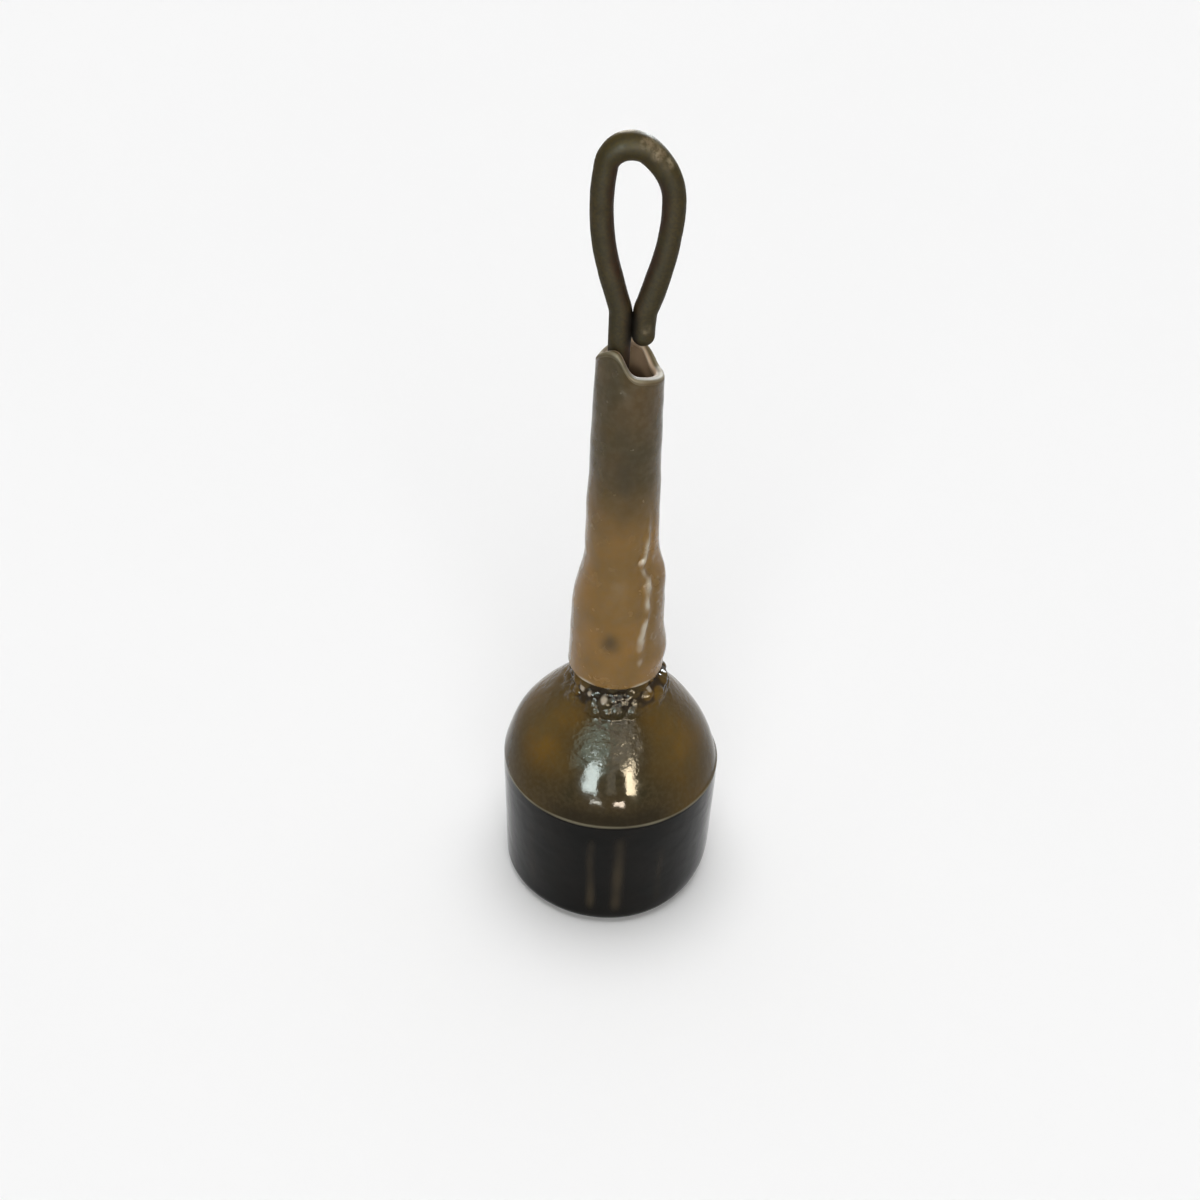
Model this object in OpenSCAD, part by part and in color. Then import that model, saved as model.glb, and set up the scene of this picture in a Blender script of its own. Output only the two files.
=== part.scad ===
// Dipped fishing sinker with an open wire eye and a sliding sleeve.
// Millimetres, +Z up, origin at the middle of the flat base. The eye lies in the XZ plane.

/* [Weight] */
// Diameter of the dipped weight at its ridge
ridge_d = 14.7; // [13.6:0.1:17]
// Height of the ridge above the flat base
ridge_h = 9.85; // [8.5:0.05:11.5]
// How far the side draws in from the ridge to the base
side_draft = 0.2; // [0:0.05:0.5]
// Radius of the rounded base edge
base_round = 0.95; // [0.8:0.05:2]
// Radius of the rounded ridge
ridge_round = 0.6; // [0.5:0.05:0.9]
// Height of the shoulder from the ridge up to the neck
shoulder_h = 5.95; // [5.2:0.05:7]
// How far the shoulder swells outside a straight cone
shoulder_swell = 0.65; // [0.3:0.02:0.8]
// Thickness of the dipped coating on the weight
coat_t = 0.35; // [0.2:0.05:0.45]

/* [Neck] */
// Height of the coating's collar above the shoulder
collar_h = 1.7; // [1:0.05:2.2]
// How far the collar's round bead stands out past the sleeve's foot
bead_r = 0.42; // [0.3:0.02:0.5]
// Height of the narrow seat between the collar's bead and the sleeve's foot
seat_h = 0.55; // [0.2:0.05:0.8]
// How far the seat stands in from the sleeve's foot
seat_inset = 0.25; // [0.1:0.05:0.4]
// Diameter of the lead stub inside the sleeve's foot
stub_d = 4.3; // [4:0.1:4.6]
// Height of the stub's straight part above the seat
stub_straight_h = 3.35; // [2.5:0.05:5]
// Height of the stub's tapered part
stub_taper_h = 4.6; // [3:0.1:6]
// Diameter of the lead stub at its tip
stub_tip_d = 2.8; // [2.6:0.05:3]

/* [Sleeve] */
// Length of the sleeve
sleeve_len = 22.8; // [20:0.05:26]
// Wall of the sleeve at its wide foot
foot_wall = 0.58; // [0.5:0.02:0.7]
// Wall of the sleeve at its mouth
mouth_wall = 0.63; // [0.5:0.01:0.8]
// Diameter of the sleeve at its waist, just above the flare over the stub
waist_d = 4.64; // [4.4:0.02:5]
// Wall of the sleeve at its waist
waist_wall = 0.62; // [0.55:0.01:0.7]
// How far the foot draws in, on the radius, up to the flare
foot_draw = 0.15; // [0:0.01:0.2]
// Height above the foot at which the flare starts
flare_low = 4.55; // [4:0.05:5.5]
// Height above the foot at which the flare ends in the waist
flare_high = 9.55; // [9:0.05:11]
// Radius of the rounded rims of the sleeve
rim_round = 0.15; // [0.05:0.05:0.2]

/* [Wire] */
// Diameter of the bare steel wire
wire_d = 1.0; // [0.8:0.05:1.1]
// Thickness of the dipped coating on the wire
wire_coat_t = 0.165; // [0.1:0.005:0.2]
// Extra thickness of the coating at the crown of the eye, where the dip gathers
crown_coat_t = 0.14; // [0:0.01:0.2]
// Gap between the coated stem and the coated free leg
leg_gap = 0.05; // [0.02:0.01:0.1]
// Height of the wire's foot above the flat base
foot_h = 3.6; // [2.5:0.1:5]
// Centre-line radius of the bend at the wire's foot
foot_bend_r = 1.5; // [1.2:0.1:2]
// Length of the wire's foot past its bend
foot_len = 2.4; // [1.5:0.1:3]

/* [Eye] */
// Clear width inside the coated eye
eye_w = 2.64; // [2.3:0.02:3.2]
// Height of the pinch above the sleeve's mouth at rest
pinch_rise = 3.1; // [2.5:0.05:4]
// Height of the free end's tip above the sleeve's mouth at rest
tip_rise = 1.2; // [0.6:0.05:1.6]
// Height from the pinch up to the eye's widest place
eye_rise = 6.95; // [6.5:0.05:8]
// Height from the widest place up to the top of the wire's centre line
crown_rise = 3.36; // [3.2:0.02:3.8]
// Centre-line radius of the crown bend, as a share of the reach from its middle to the stem's side
crown_share = 0.9; // [0.7:0.02:0.96]
// How far the crown bend sits off the axis, towards the stem
crown_shift = 0.42; // [0:0.02:0.6]
// Radius of the long and the short bend of a flank together, as a share of the most that fits
flank_share = 0.9; // [0.6:0.02:0.98]
// Centre-line radius of the two bends at the pinch
pinch_bend_r = 2.4; // [1.8:0.1:3]

/* [Fits] */
// Running clearance of the sleeve round the stub and the coated legs, on the radius
run_clear = 0.05; // [0.02:0.01:0.1]
// Clearance between the sleeve's foot and the seat
seat_clear = 0.02; // [0.01:0.01:0.1]

/* [Hidden] */
$fn = 64;

// Points on a rounded corner, and on the shoulder and the sleeve's flare
corner_steps = 8;
curve_steps = 16;
// Sides of the wire and its coating, and steps along each kind of bend in it
wire_sides = 16;
pinch_steps = 3;
flank_steps = 6;
crown_steps = 6;
foot_steps = 5;
tip_steps = 5;
// Angle at which the ridge's round runs into the shoulder
ridge_turn = 22;
// Overrun of every cut past the face it opens
cut_over = 1;

// Weight: middles of the two round corners, and the slope of the side between them
ridge_r = ridge_d / 2;
base_mid = [ridge_r - side_draft - base_round, base_round];
ridge_mid = [ridge_r - ridge_round, ridge_h - ridge_round];
side_run = ridge_mid - base_mid;
side_normal = atan2(side_run.y, side_run.x) - acos((base_round - ridge_round) / norm(side_run));

// Neck: the coated stub, the sleeve's bore round it, and the sleeve's foot round that
stub_r = stub_d / 2 + coat_t;
tip_r = stub_tip_d / 2 + coat_t;
foot_bore_r = stub_r + run_clear;
foot_r = foot_bore_r + foot_wall;
neck_r = foot_r + bead_r;
seat_r = foot_r - seat_inset;
shoulder_z = ridge_h + shoulder_h;
bead_z = shoulder_z + collar_h;
seat_z = bead_z + seat_h;
taper_z = seat_z + stub_straight_h;
stub_z = taper_z + stub_taper_h;

// Sleeve: it stands just over the seat, and its bore holds the two coated legs side by side
wire_r = wire_d / 2;
coated_r = wire_r + wire_coat_t;
leg_x = coated_r + leg_gap / 2;
leg_bore_r = leg_x + coated_r + run_clear;
mouth_r = leg_bore_r + mouth_wall;
sleeve_z = seat_z + seat_clear;
waist_z = sleeve_z + flare_high;
waist_r = waist_d / 2;
mouth_z = sleeve_z + sleeve_len;

// Eye: heights of its places, and how far the sleeve can rise before the legs part
pinch_z = mouth_z + pinch_rise;
tip_z = mouth_z + tip_rise;
wide_z = pinch_z + eye_rise;
wide_x = eye_w / 2 + coated_r;
sleeve_travel = pinch_z - mouth_z;
echo(sleeve_travel_mm = sleeve_travel, mouth_z_mm = mouth_z, pinch_z_mm = pinch_z);
echo(height_mm = wide_z + crown_rise + coated_r + crown_coat_t);
echo(eye_height_mm = crown_rise + eye_rise - coated_r - crown_coat_t);

// Radius of the bend on one side of the crown that is upright at the widest place and meets
// the crown bend smoothly, for a reach from the crown's middle out to the widest place
function side_bend_r(reach) =
    (reach * reach + crown_up * crown_up - crown_r * crown_r) / (2 * (reach - crown_r));
function side_bend_turn(reach) = atan2(crown_up, side_bend_r(reach) - reach);
stem_reach = wide_x - crown_shift;
free_reach = wide_x + crown_shift;
crown_r = crown_share * stem_reach;
crown_up = crown_rise - crown_r;

// A flank's long bend, and the straight run between it and the pinch bend: length and slope
flank_w = wide_x - leg_x;
bend_sum = flank_share * (eye_rise * eye_rise + flank_w * flank_w) / (2 * flank_w);
flank_r = bend_sum - pinch_bend_r;
bend_offset = bend_sum - flank_w;
flank_run = sqrt(bend_offset * bend_offset + eye_rise * eye_rise - bend_sum * bend_sum);
flank_turn = atan2(eye_rise, bend_offset) - atan2(flank_run, bend_sum);

// Points of a round corner about mid, from angle a to angle b
function corner(mid, r, a, b) =
    [for (i = [0 : corner_steps]) let (t = a + (b - a) * i / corner_steps)
        mid + r * [cos(t), sin(t)]];

// Shoulder: a cone from the ridge to the neck, swollen by a parabola, and moved in by inset
shoulder_low = ridge_mid + ridge_round * [cos(ridge_turn), sin(ridge_turn)];
shoulder_high = [neck_r, shoulder_z];
shoulder_run = shoulder_high - shoulder_low;
function shoulder_slope(t) = [shoulder_run.x + 4 * shoulder_swell * (1 - 2 * t), shoulder_run.y];
function shoulder_point(t, inset) =
    let (slope = shoulder_slope(t))
    shoulder_low + t * shoulder_run + [4 * shoulder_swell * t * (1 - t), 0]
        - inset * [slope.y, -slope.x] / norm(slope);

// Outline of the weight from the middle of the base up to the neck, moved in by inset
function weight_outline(inset) = concat(
    [[0, inset]],
    corner(base_mid, base_round - inset, -90, side_normal),
    corner(ridge_mid, ridge_round - inset, side_normal, ridge_turn),
    [for (i = [1 : curve_steps]) shoulder_point(i / curve_steps, inset)]
);

// Outline of the cast lead: the weight under its coating, and the bare stub
function lead_outline() =
    let (body = weight_outline(coat_t), top = body[len(body) - 1])
    concat(body, [
        [stub_d / 2, top.y],
        [stub_d / 2, taper_z],
        [stub_tip_d / 2, stub_z - coat_t],
        [0, stub_z - coat_t]
    ]);

// Outline of the dipped weight: its collar ends in a bead, and the sleeve's seat is flat
function dipped_outline() = concat(
    weight_outline(0),
    corner([foot_r, bead_z - bead_r], bead_r, 0, 90),
    [
        [seat_r, bead_z],
        [seat_r, seat_z],
        [stub_r, seat_z],
        [stub_r, taper_z],
        [tip_r, stub_z],
        [0, stub_z]
    ]
);

// Smooth step from 0 to 1, for the sleeve's flare
function ease(t) = t * t * (3 - 2 * t);
function flare(t) = [
    foot_r - foot_draw + (waist_r - foot_r + foot_draw) * ease(t),
    sleeve_z + flare_low + (flare_high - flare_low) * t
];

// Half section of the sleeve: up the outside, round the mouth, and down the bore, which is
// widest over the stub and closest round the legs at the mouth
function sleeve_outline() = concat(
    corner([foot_r - rim_round, sleeve_z + rim_round], rim_round, -90, 0),
    [for (i = [0 : curve_steps]) flare(i / curve_steps)],
    corner([mouth_r - rim_round, mouth_z - rim_round], rim_round, 0, 90),
    corner([leg_bore_r + rim_round, mouth_z - rim_round], rim_round, 90, 180),
    [
        [waist_r - waist_wall, waist_z],
        [tip_r + run_clear, stub_z + run_clear],
        [foot_bore_r, taper_z + run_clear],
        [foot_bore_r, sleeve_z]
    ]
);

// A station on the wire is [x, z, heading], the heading in degrees from +X towards +Z.
// Stations on a round bend about mid, from angle a to angle b, without the first
function bend(mid, r, a, b, steps) =
    [for (i = [1 : steps]) let (t = a + (b - a) * i / steps)
        [mid.x + r * cos(t), mid.y + r * sin(t), t + 90 * sign(b - a)]];

// Stations up one half of the eye, from the pinch to the top of the crown, on the side of +X
function half_eye(reach) =
    let (side_r = side_bend_r(reach), side_turn = side_bend_turn(reach))
    concat(
        [[leg_x, pinch_z, 90]],
        bend([leg_x + pinch_bend_r, pinch_z], pinch_bend_r, 180, 180 - flank_turn, pinch_steps),
        [[
            wide_x - flank_r + flank_r * cos(flank_turn),
            wide_z - flank_r * sin(flank_turn),
            90 - flank_turn
        ]],
        bend([wide_x - flank_r, wide_z], flank_r, -flank_turn, 0, flank_steps),
        bend([wide_x - side_r, wide_z], side_r, 0, side_turn, flank_steps),
        bend([wide_x - reach, wide_z + crown_up], crown_r, side_turn, 90, crown_steps)
    );

// Up the stem's half, and down the half of the free leg to its end
function up_stem_half() = [for (p = half_eye(stem_reach)) [-p.x, p.y, 180 - p.z]];
function down_free_half() =
    let (half = half_eye(free_reach))
    [for (i = [len(half) - 2 : -1 : 0]) half[i] + [0, 0, 180]];

// The wire's foot, bent over in the lead, and its stem as far as the tip of the coated stub
foot_mid = [-leg_x + foot_bend_r, foot_h + foot_bend_r];
foot_stations = concat(
    [[foot_mid.x + foot_len, foot_h, 180], [foot_mid.x, foot_h, 180]],
    bend(foot_mid, foot_bend_r, 270, 180, foot_steps)
);
bare_stations = concat(
    [[-leg_x, stub_z, 90]],
    up_stem_half(),
    down_free_half(),
    [[leg_x, tip_z + coated_r, 270]]
);

// The ring of points round a station
function ring(station, r) =
    [for (j = [0 : wire_sides - 1]) let (q = 360 * j / wire_sides)
        [
            station.x - r * cos(q) * sin(station.z),
            r * sin(q),
            station.y + r * cos(q) * cos(station.z)
        ]];

// Outer radius of the wire's coating at a station: it is thickest where the wire runs level
function coating_r(station) = coated_r + crown_coat_t * pow(cos(station.z), 2);

// Rings of the coating's round tip over the end of the free leg
function tip_rings(end) =
    [for (i = [1 : tip_steps]) let (t = 90 * i / (tip_steps + 1))
        ring(
            [
                end.x + coated_r * sin(t) * cos(end.z),
                end.y + coated_r * sin(t) * sin(end.z),
                end.z
            ],
            coated_r * cos(t)
        )];

// A closed skin over a row of rings, with a flat cap at each end
module skin(rings) {
    last = len(rings) - 1;
    polyhedron(
        points = [for (r = rings) each r],
        faces = concat(
            [[for (j = [wire_sides - 1 : -1 : 0]) j]],
            [for (i = [0 : last - 1]) for (j = [0 : wire_sides - 1])
                let (k = (j + 1) % wire_sides)
                [
                    i * wire_sides + j,
                    i * wire_sides + k,
                    (i + 1) * wire_sides + k,
                    (i + 1) * wire_sides + j
                ]],
            [[for (j = [0 : wire_sides - 1]) last * wire_sides + j]]
        )
    );
}

// The part of the wire that the lead and its coating are cast and dipped round
module buried_wire()
    skin([for (p = concat(foot_stations, [[-leg_x, stub_z + cut_over, 90]])) ring(p, wire_r)]);

module lead_weight()
    color([0.30, 0.31, 0.33])
        difference() {
            rotate_extrude() polygon(lead_outline());
            buried_wire();
        }

module weight_coating()
    color([0.24, 0.18, 0.08])
        difference() {
            rotate_extrude()
                polygon(concat(
                    dipped_outline(),
                    [for (i = [len(lead_outline()) - 1 : -1 : 0]) lead_outline()[i]]
                ));
            buried_wire();
        }

// The steel wire: its foot, the stem, the eye and the free leg, in one sweep
module wire_eye()
    color([0.55, 0.56, 0.58])
        skin([for (p = concat(foot_stations, bare_stations)) ring(p, wire_r)]);

// The coating on the bare stations: back along the wire's surface, then out along its own
module eye_coating()
    color([0.28, 0.25, 0.19])
        skin(concat(
            [for (i = [len(bare_stations) - 1 : -1 : 0]) ring(bare_stations[i], wire_r)],
            [for (p = bare_stations) ring(p, coating_r(p))],
            tip_rings(bare_stations[len(bare_stations) - 1])
        ));

module sleeve()
    color([0.42, 0.36, 0.27, 0.8])
        rotate_extrude() polygon(sleeve_outline());

lead_weight();
weight_coating();
wire_eye();
eye_coating();
sleeve();
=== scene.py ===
import math

import bpy
import numpy as np
from mathutils import Matrix, Vector, noise


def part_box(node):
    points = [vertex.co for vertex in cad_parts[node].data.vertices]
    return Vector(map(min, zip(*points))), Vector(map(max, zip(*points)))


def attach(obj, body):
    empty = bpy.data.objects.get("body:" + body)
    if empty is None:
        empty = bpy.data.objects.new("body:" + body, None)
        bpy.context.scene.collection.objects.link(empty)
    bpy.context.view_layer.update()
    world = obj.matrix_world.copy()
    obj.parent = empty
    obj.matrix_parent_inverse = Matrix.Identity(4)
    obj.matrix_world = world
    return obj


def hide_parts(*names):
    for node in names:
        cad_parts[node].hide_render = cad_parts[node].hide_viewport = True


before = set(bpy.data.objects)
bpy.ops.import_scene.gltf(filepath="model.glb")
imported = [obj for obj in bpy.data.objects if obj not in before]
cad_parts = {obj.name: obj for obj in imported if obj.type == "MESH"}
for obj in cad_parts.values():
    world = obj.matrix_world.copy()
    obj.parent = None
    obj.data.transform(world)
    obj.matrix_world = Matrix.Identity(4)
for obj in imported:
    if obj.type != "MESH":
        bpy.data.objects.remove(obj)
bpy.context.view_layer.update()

# Lengths of the part are in millimetres, and MM turns them into metres. Only the floor and the
# lights are written in metres.
MM = 0.001

# Sizes read from the frame
weight_high = np.array(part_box("weight_coating")[1]) / MM
sleeve_low, sleeve_high = (np.array(corner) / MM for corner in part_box("sleeve"))
RIDGE_R = weight_high[0]
STUB_Z = weight_high[2]
FOOT_R = sleeve_high[0]
FOOT_Z = sleeve_low[2]
MOUTH_Z = sleeve_high[2]

# The dipped weight, as in the part's source. R is a radius, Z a height over the floor, H a height
# over what is below, and T a thickness.
RIDGE_H = 9.85
SIDE_DRAFT = 0.2
BASE_ROUND = 0.95
RIDGE_ROUND = 0.6
RIDGE_TURN = math.radians(22)
SHOULDER_H = 5.95
SHOULDER_SWELL = 0.65
COAT_T = 0.35
BEAD_R = 0.42
COLLAR_IN = 1.05
COLLAR_UP = 1.75
COLLAR_TURN = math.radians(68)
SEAT_R = FOOT_R - 0.25
SEAT_Z = FOOT_Z - 0.02
SEAT_EDGE = 0.1
STUB_R = 2.5
STUB_TIP_R = 1.75
STUB_EDGE = 0.5
STUB_EDGE_IN = 0.35
STUB_EDGE_UP = 0.4
TAPER_Z = STUB_Z - 4.6
LEAD_GAP = 0.02

# The sleeve
RUN_CLEAR = 0.05
FOOT_BORE_R = STUB_R + RUN_CLEAR
TIP_BORE_R = STUB_TIP_R + RUN_CLEAR
LEG_BORE_R = 1.405
MOUTH_R = 2.035
WAIST_R = 2.32
WAIST_BORE_R = 1.70
FOOT_DRAW = 0.15
FLARE_LOW = 4.55
FLARE_HIGH = 9.55
RIM_ROUND = 0.2
BORE_EDGE = 0.1

# The wire and its eye, as far as the coating on it shows
COATED_R = 0.665
LEG_X = 0.69
CROWN_COAT = 0.14
EYE_W = 2.64
STEM_SUNK = 0.2
PINCH_RISE = 3.1
TIP_RISE = 1.2
EYE_RISE = 6.95
CROWN_RISE = 3.36
CROWN_SHARE = 0.9
CROWN_SHIFT = 0.42
FLANK_SHARE = 0.9
PINCH_BEND_R = 2.4

# How far a bubble reaches from its middle, in shares of the distance between bubbles
BUBBLE_REACH = 0.62

# How finely the pieces are meshed: columns or sides round them, and steps along their outlines
DIP_COLUMNS, DIP_STEP = 272, 0.12
LEAD_COLUMNS, LEAD_STEP = 96, 0.6
SLEEVE_COLUMNS, SLEEVE_STEP = 216, 0.17
WIRE_SIDES = 40


# Mesh helpers

def smooth(low, high, value):
    """0 below low, 1 above high, and a smooth step between."""
    t = np.clip((value - low) / (high - low), 0, 1)
    return t * t * (3 - 2 * t)


def seed_shift(seed):
    """How far the noise of a seed is moved from that of seed 0."""
    return Vector((seed * 7.3, seed * 3.1, seed * 5.7))


def wave(points, scale, seed):
    """Smooth noise from -1 to 1 at each point, with features of about scale millimetres."""
    shift = seed_shift(seed)
    return np.array([noise.noise(Vector(p) / scale + shift) for p in points])


def bubbles(points, scale, seed):
    """Round bumps from 0 to 1, packed like foam, about scale millimetres apart."""
    shift = seed_shift(seed)
    near = np.array([noise.voronoi(Vector(p) / scale + shift)[0][0] for p in points])
    return np.clip(1 - (near / BUBBLE_REACH) ** 2, 0, 1)


def waves(points, layers):
    """The sum of layers of smooth noise, each a height, a size and a seed."""
    return sum(height * wave(points, scale, seed) for height, scale, seed in layers)


def bell(value):
    """1 at 0, falling smoothly to almost nothing at 2 and -2."""
    return np.exp(-(value ** 2))


def polar(points):
    """Radius, angle in radians and height of each point, about the axis."""
    x, y, z = points.T
    return np.hypot(x, y), np.arctan2(y, x), z


def angle_gap(turn, middle):
    """Signed angle from middle to turn."""
    return (turn - middle + math.pi) % (2 * math.pi) - math.pi


def swells(turn, z, table):
    """The sum of soft swells, each an angle in degrees, a height, half widths in degrees and
    millimetres, and how far it stands out."""
    made = 0
    for degrees, middle, half_turn, half_z, swell in table:
        across = np.degrees(angle_gap(turn, math.radians(degrees))) / half_turn
        made = made + swell * np.exp(-across ** 2 - ((z - middle) / half_z) ** 2)
    return made


def grid_faces(rows, columns, wrap_rows=False):
    """Quads over a grid of points whose columns go round."""
    faces = []
    for i in range(rows if wrap_rows else rows - 1):
        for j in range(columns):
            k = (j + 1) % columns
            n = (i + 1) % rows
            faces.append((i * columns + j, i * columns + k, n * columns + k, n * columns + j))
    return faces


def closed_faces(rows, columns):
    """Faces over rows of points round, closed by a point before the first row and one after the
    last. The two points follow the rows in that order."""
    faces = grid_faces(rows, columns)
    low_end, high_end = rows * columns, rows * columns + 1
    last_row = (rows - 1) * columns
    for j in range(columns):
        k = (j + 1) % columns
        faces.append((low_end, k, j))
        faces.append((high_end, last_row + j, last_row + k))
    return faces


def piece(name, points, faces, material, body, replaced, slot, **fields):
    """A smooth mesh object from points in millimetres, which rides on its body. fields are
    values at its points that its material reads by name."""
    mesh = bpy.data.meshes.new(name)
    mesh.from_pydata([tuple(p) for p in np.asarray(points) * MM], [], faces)
    mesh.validate()
    mesh.polygons.foreach_set("use_smooth", [True] * len(mesh.polygons))
    mesh.update()
    for field, values in fields.items():
        mesh.attributes.new(field, "FLOAT", "POINT").data.foreach_set("value", values)
    obj = bpy.data.objects.new(name, mesh)
    bpy.context.scene.collection.objects.link(obj)
    obj.data.materials.append(material)
    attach(obj, body)
    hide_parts(replaced)
    return obj


def arc(mid, radius, start, end, steps):
    """Points of a round corner about mid, angles in radians."""
    return [
        (mid[0] + radius * math.cos(t), mid[1] + radius * math.sin(t))
        for t in np.linspace(start, end, steps + 1)
    ]


def resample(line, step):
    """Points along a line of [r, z] pairs, about step apart, that keep its corners."""
    out = [np.array(line[0], float)]
    for a, b in zip(line, line[1:]):
        a, b = np.array(a, float), np.array(b, float)
        count = max(1, math.ceil(np.linalg.norm(b - a) / step))
        out += [a + (b - a) * i / count for i in range(1, count + 1)]
    return np.array(out)


def line_normals(line):
    """Normals of a line of [r, z] pairs, to the right of its way."""
    way = np.gradient(line, axis=0)
    way /= np.maximum(np.linalg.norm(way, axis=1, keepdims=True), 1e-9)
    return np.stack([way[:, 1], -way[:, 0]], 1)


def revolve(line, columns):
    """Points of a line of [r, z] pairs turned round the axis, and their normals, row by row."""
    turns = np.linspace(0, 2 * math.pi, columns, endpoint=False)
    normals = line_normals(line)
    points, outward = [], []
    for (r, z), (nr, nz) in zip(line, normals):
        for t in turns:
            points.append((r * math.cos(t), r * math.sin(t), z))
            outward.append((nr * math.cos(t), nr * math.sin(t), nz))
    return np.array(points), np.array(outward)


# The dipped coating on the weight

def weight_line(inset):
    """Outline of the weight from the base up to the collar, moved in by inset."""
    base_mid = (RIDGE_R - SIDE_DRAFT - BASE_ROUND, BASE_ROUND)
    ridge_mid = (RIDGE_R - RIDGE_ROUND, RIDGE_H - RIDGE_ROUND)
    run = (ridge_mid[0] - base_mid[0], ridge_mid[1] - base_mid[1])
    side = math.atan2(run[1], run[0]) - math.acos((BASE_ROUND - RIDGE_ROUND) / math.hypot(*run))
    low = np.array([
        ridge_mid[0] + RIDGE_ROUND * math.cos(RIDGE_TURN),
        ridge_mid[1] + RIDGE_ROUND * math.sin(RIDGE_TURN),
    ])
    high = np.array([FOOT_R + BEAD_R, RIDGE_H + SHOULDER_H])
    rise = high - low
    shoulder = []
    for t in np.linspace(0, 1, 61)[1:]:
        slope = np.array([rise[0] + 4 * SHOULDER_SWELL * (1 - 2 * t), rise[1]])
        inward = np.array([-slope[1], slope[0]]) / np.linalg.norm(slope)
        swell = np.array([4 * SHOULDER_SWELL * t * (1 - t), 0])
        shoulder.append(tuple(low + t * rise + swell + inset * inward))
    return (
        [(0.0, inset)]
        + arc(base_mid, BASE_ROUND - inset, -math.pi / 2, side, 14)
        + arc(ridge_mid, RIDGE_ROUND - inset, side, RIDGE_TURN, 10)
        + shoulder
    )


def dipped_outline():
    """Outline of the dipped weight, from the middle of its base to the tip of its stub."""
    collar_r, collar_z = FOOT_R + BEAD_R, RIDGE_H + SHOULDER_H
    turns = np.linspace(0, COLLAR_TURN, 13)[1:]
    collar = [
        (collar_r - COLLAR_IN * (1 - math.cos(t)), collar_z + COLLAR_UP * math.sin(t))
        for t in turns
    ]
    return weight_line(0) + collar + [
        (SEAT_R, SEAT_Z - SEAT_EDGE),
        (SEAT_R - SEAT_EDGE, SEAT_Z),
        (STUB_R, SEAT_Z),
        (STUB_R, TAPER_Z),
        (STUB_TIP_R, STUB_Z - STUB_EDGE),
        (STUB_TIP_R - STUB_EDGE_IN, STUB_Z - STUB_EDGE + STUB_EDGE_UP),
        (0.0, STUB_Z),
    ]


def lead_outline():
    """The coating's inner face, from its top down to the middle of the base."""
    gap = COAT_T - LEAD_GAP
    body = weight_line(gap)
    top = body[-1][1]
    return [
        (0.0, STUB_Z - gap),
        (STUB_TIP_R - gap, STUB_Z - gap),
        (STUB_R - gap, TAPER_Z),
        (STUB_R - gap, top),
    ] + body[::-1]


def closed_revolve(line, columns):
    """A revolved skin whose two ends lie on the axis and are single points."""
    points, normals = revolve(line[1:-1], columns)
    points = np.vstack([points, [[0, 0, line[0][1]], [0, 0, line[-1][1]]]])
    up = 1.0 if line[-1][1] > line[0][1] else -1.0
    normals = np.vstack([normals, [[0, 0, -up], [0, 0, up]]])
    return points, normals, closed_faces(len(line) - 2, columns)


# The lip is a thin bead round the ridge, higher at the sides than in front. The collar is lumpy.
LIP_Z = 9.66
LIP_WIDTH = 0.13
LIP_H = 0.02
LIP_SIDE_H = 0.08
COLLAR_LUMP = 0.24
COLLAR_CELL = 0.95
SMALL_CELL = 0.45
FLECK_H = 0.1
STUB_WAVE = 0.012
# Room that is left inside the CAD box, by the even skin and by its relief
SKIN_ROOM = 0.03
RELIEF_ROOM = 0.001
# Heights over which the wrinkles, the collar's lumps and the painted shade between them set in, and
# over which the lumps on the seat set in and end
NECK_Z = (12.3, 15.2)
COLLAR_Z = (15.3, 16.4)
PIT_Z = (15.9, 16.7)
SEAT_LOW_Z = (17.2, 17.4)
SEAT_HIGH_Z = (17.65, 17.85)
# Layers of waves: height, size and seed
DIP_WAVES = ((0.02, 2.6, 1), (0.007, 0.8, 2))
WRINKLES = ((0.022, 0.6, 6), (0.014, 1.3, 10), (0.012, 0.33, 5))
# Places where the dip is thicker or thinner, as swells() takes them
SWELLS = (
    (180, 12.6, 48, 1.9, 0.32),
    (184, 9.9, 40, 1.2, 0.1),
    (180, 16.9, 40, 0.9, -0.62),
    (-4, 16.9, 34, 0.9, 0.24),
    (-8, 0.4, 38, 0.9, -0.28),
    (-42, 0.3, 20, 0.6, -0.1),
)
# Small bumps in the collar, painted pale as highlights: angle, height, reach and strength
FLECKS = (
    (-134, 17.36, 0.24, 1.0), (-122, 17.25, 0.2, 0.8), (-102, 17.18, 0.26, 1.0),
    (-88, 17.1, 0.15, 0.5), (-42, 17.35, 0.22, 0.9), (-76, 15.7, 0.16, 0.5),
    (38, 17.2, 0.16, 0.6), (96, 17.25, 0.2, 0.7), (151, 17.1, 0.16, 0.5),
)
# Paler streaks down the side, painted as reflections: angle, half width in degrees, top height and
# strength
RUNS = (
    (-98.5, 2.6, 9.0, 0.8), (-84.0, 3.2, 9.2, 1.0), (-60, 3.0, 8.0, 0.35), (-20, 2.6, 8.8, 0.6),
    (14, 2.0, 7.6, 0.7), (47, 3.2, 9.0, 0.5), (78, 2.0, 9.0, 0.8), (109, 2.8, 8.2, 0.6),
    (140, 2.2, 9.0, 0.7), (171, 3.0, 7.8, 0.5), (-135, 2.6, 8.6, 0.4),
)


def off_neck(r):
    """1 outside the sleeve's foot, and 0 on the seat and the stub inside it."""
    return smooth(FOOT_R - 0.15, FOOT_R + 0.15, r)


def sideways(points):
    """0 in front and behind, 1 at the left and right sides."""
    return np.abs(points[:, 0]) / np.maximum(np.hypot(points[:, 0], points[:, 1]), 1e-6)


def neck_part(points):
    """1 on the upper shoulder, where the dip is finely wrinkled, fading out below."""
    r, _, z = polar(points)
    return smooth(*NECK_Z, z) * off_neck(r)


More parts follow.
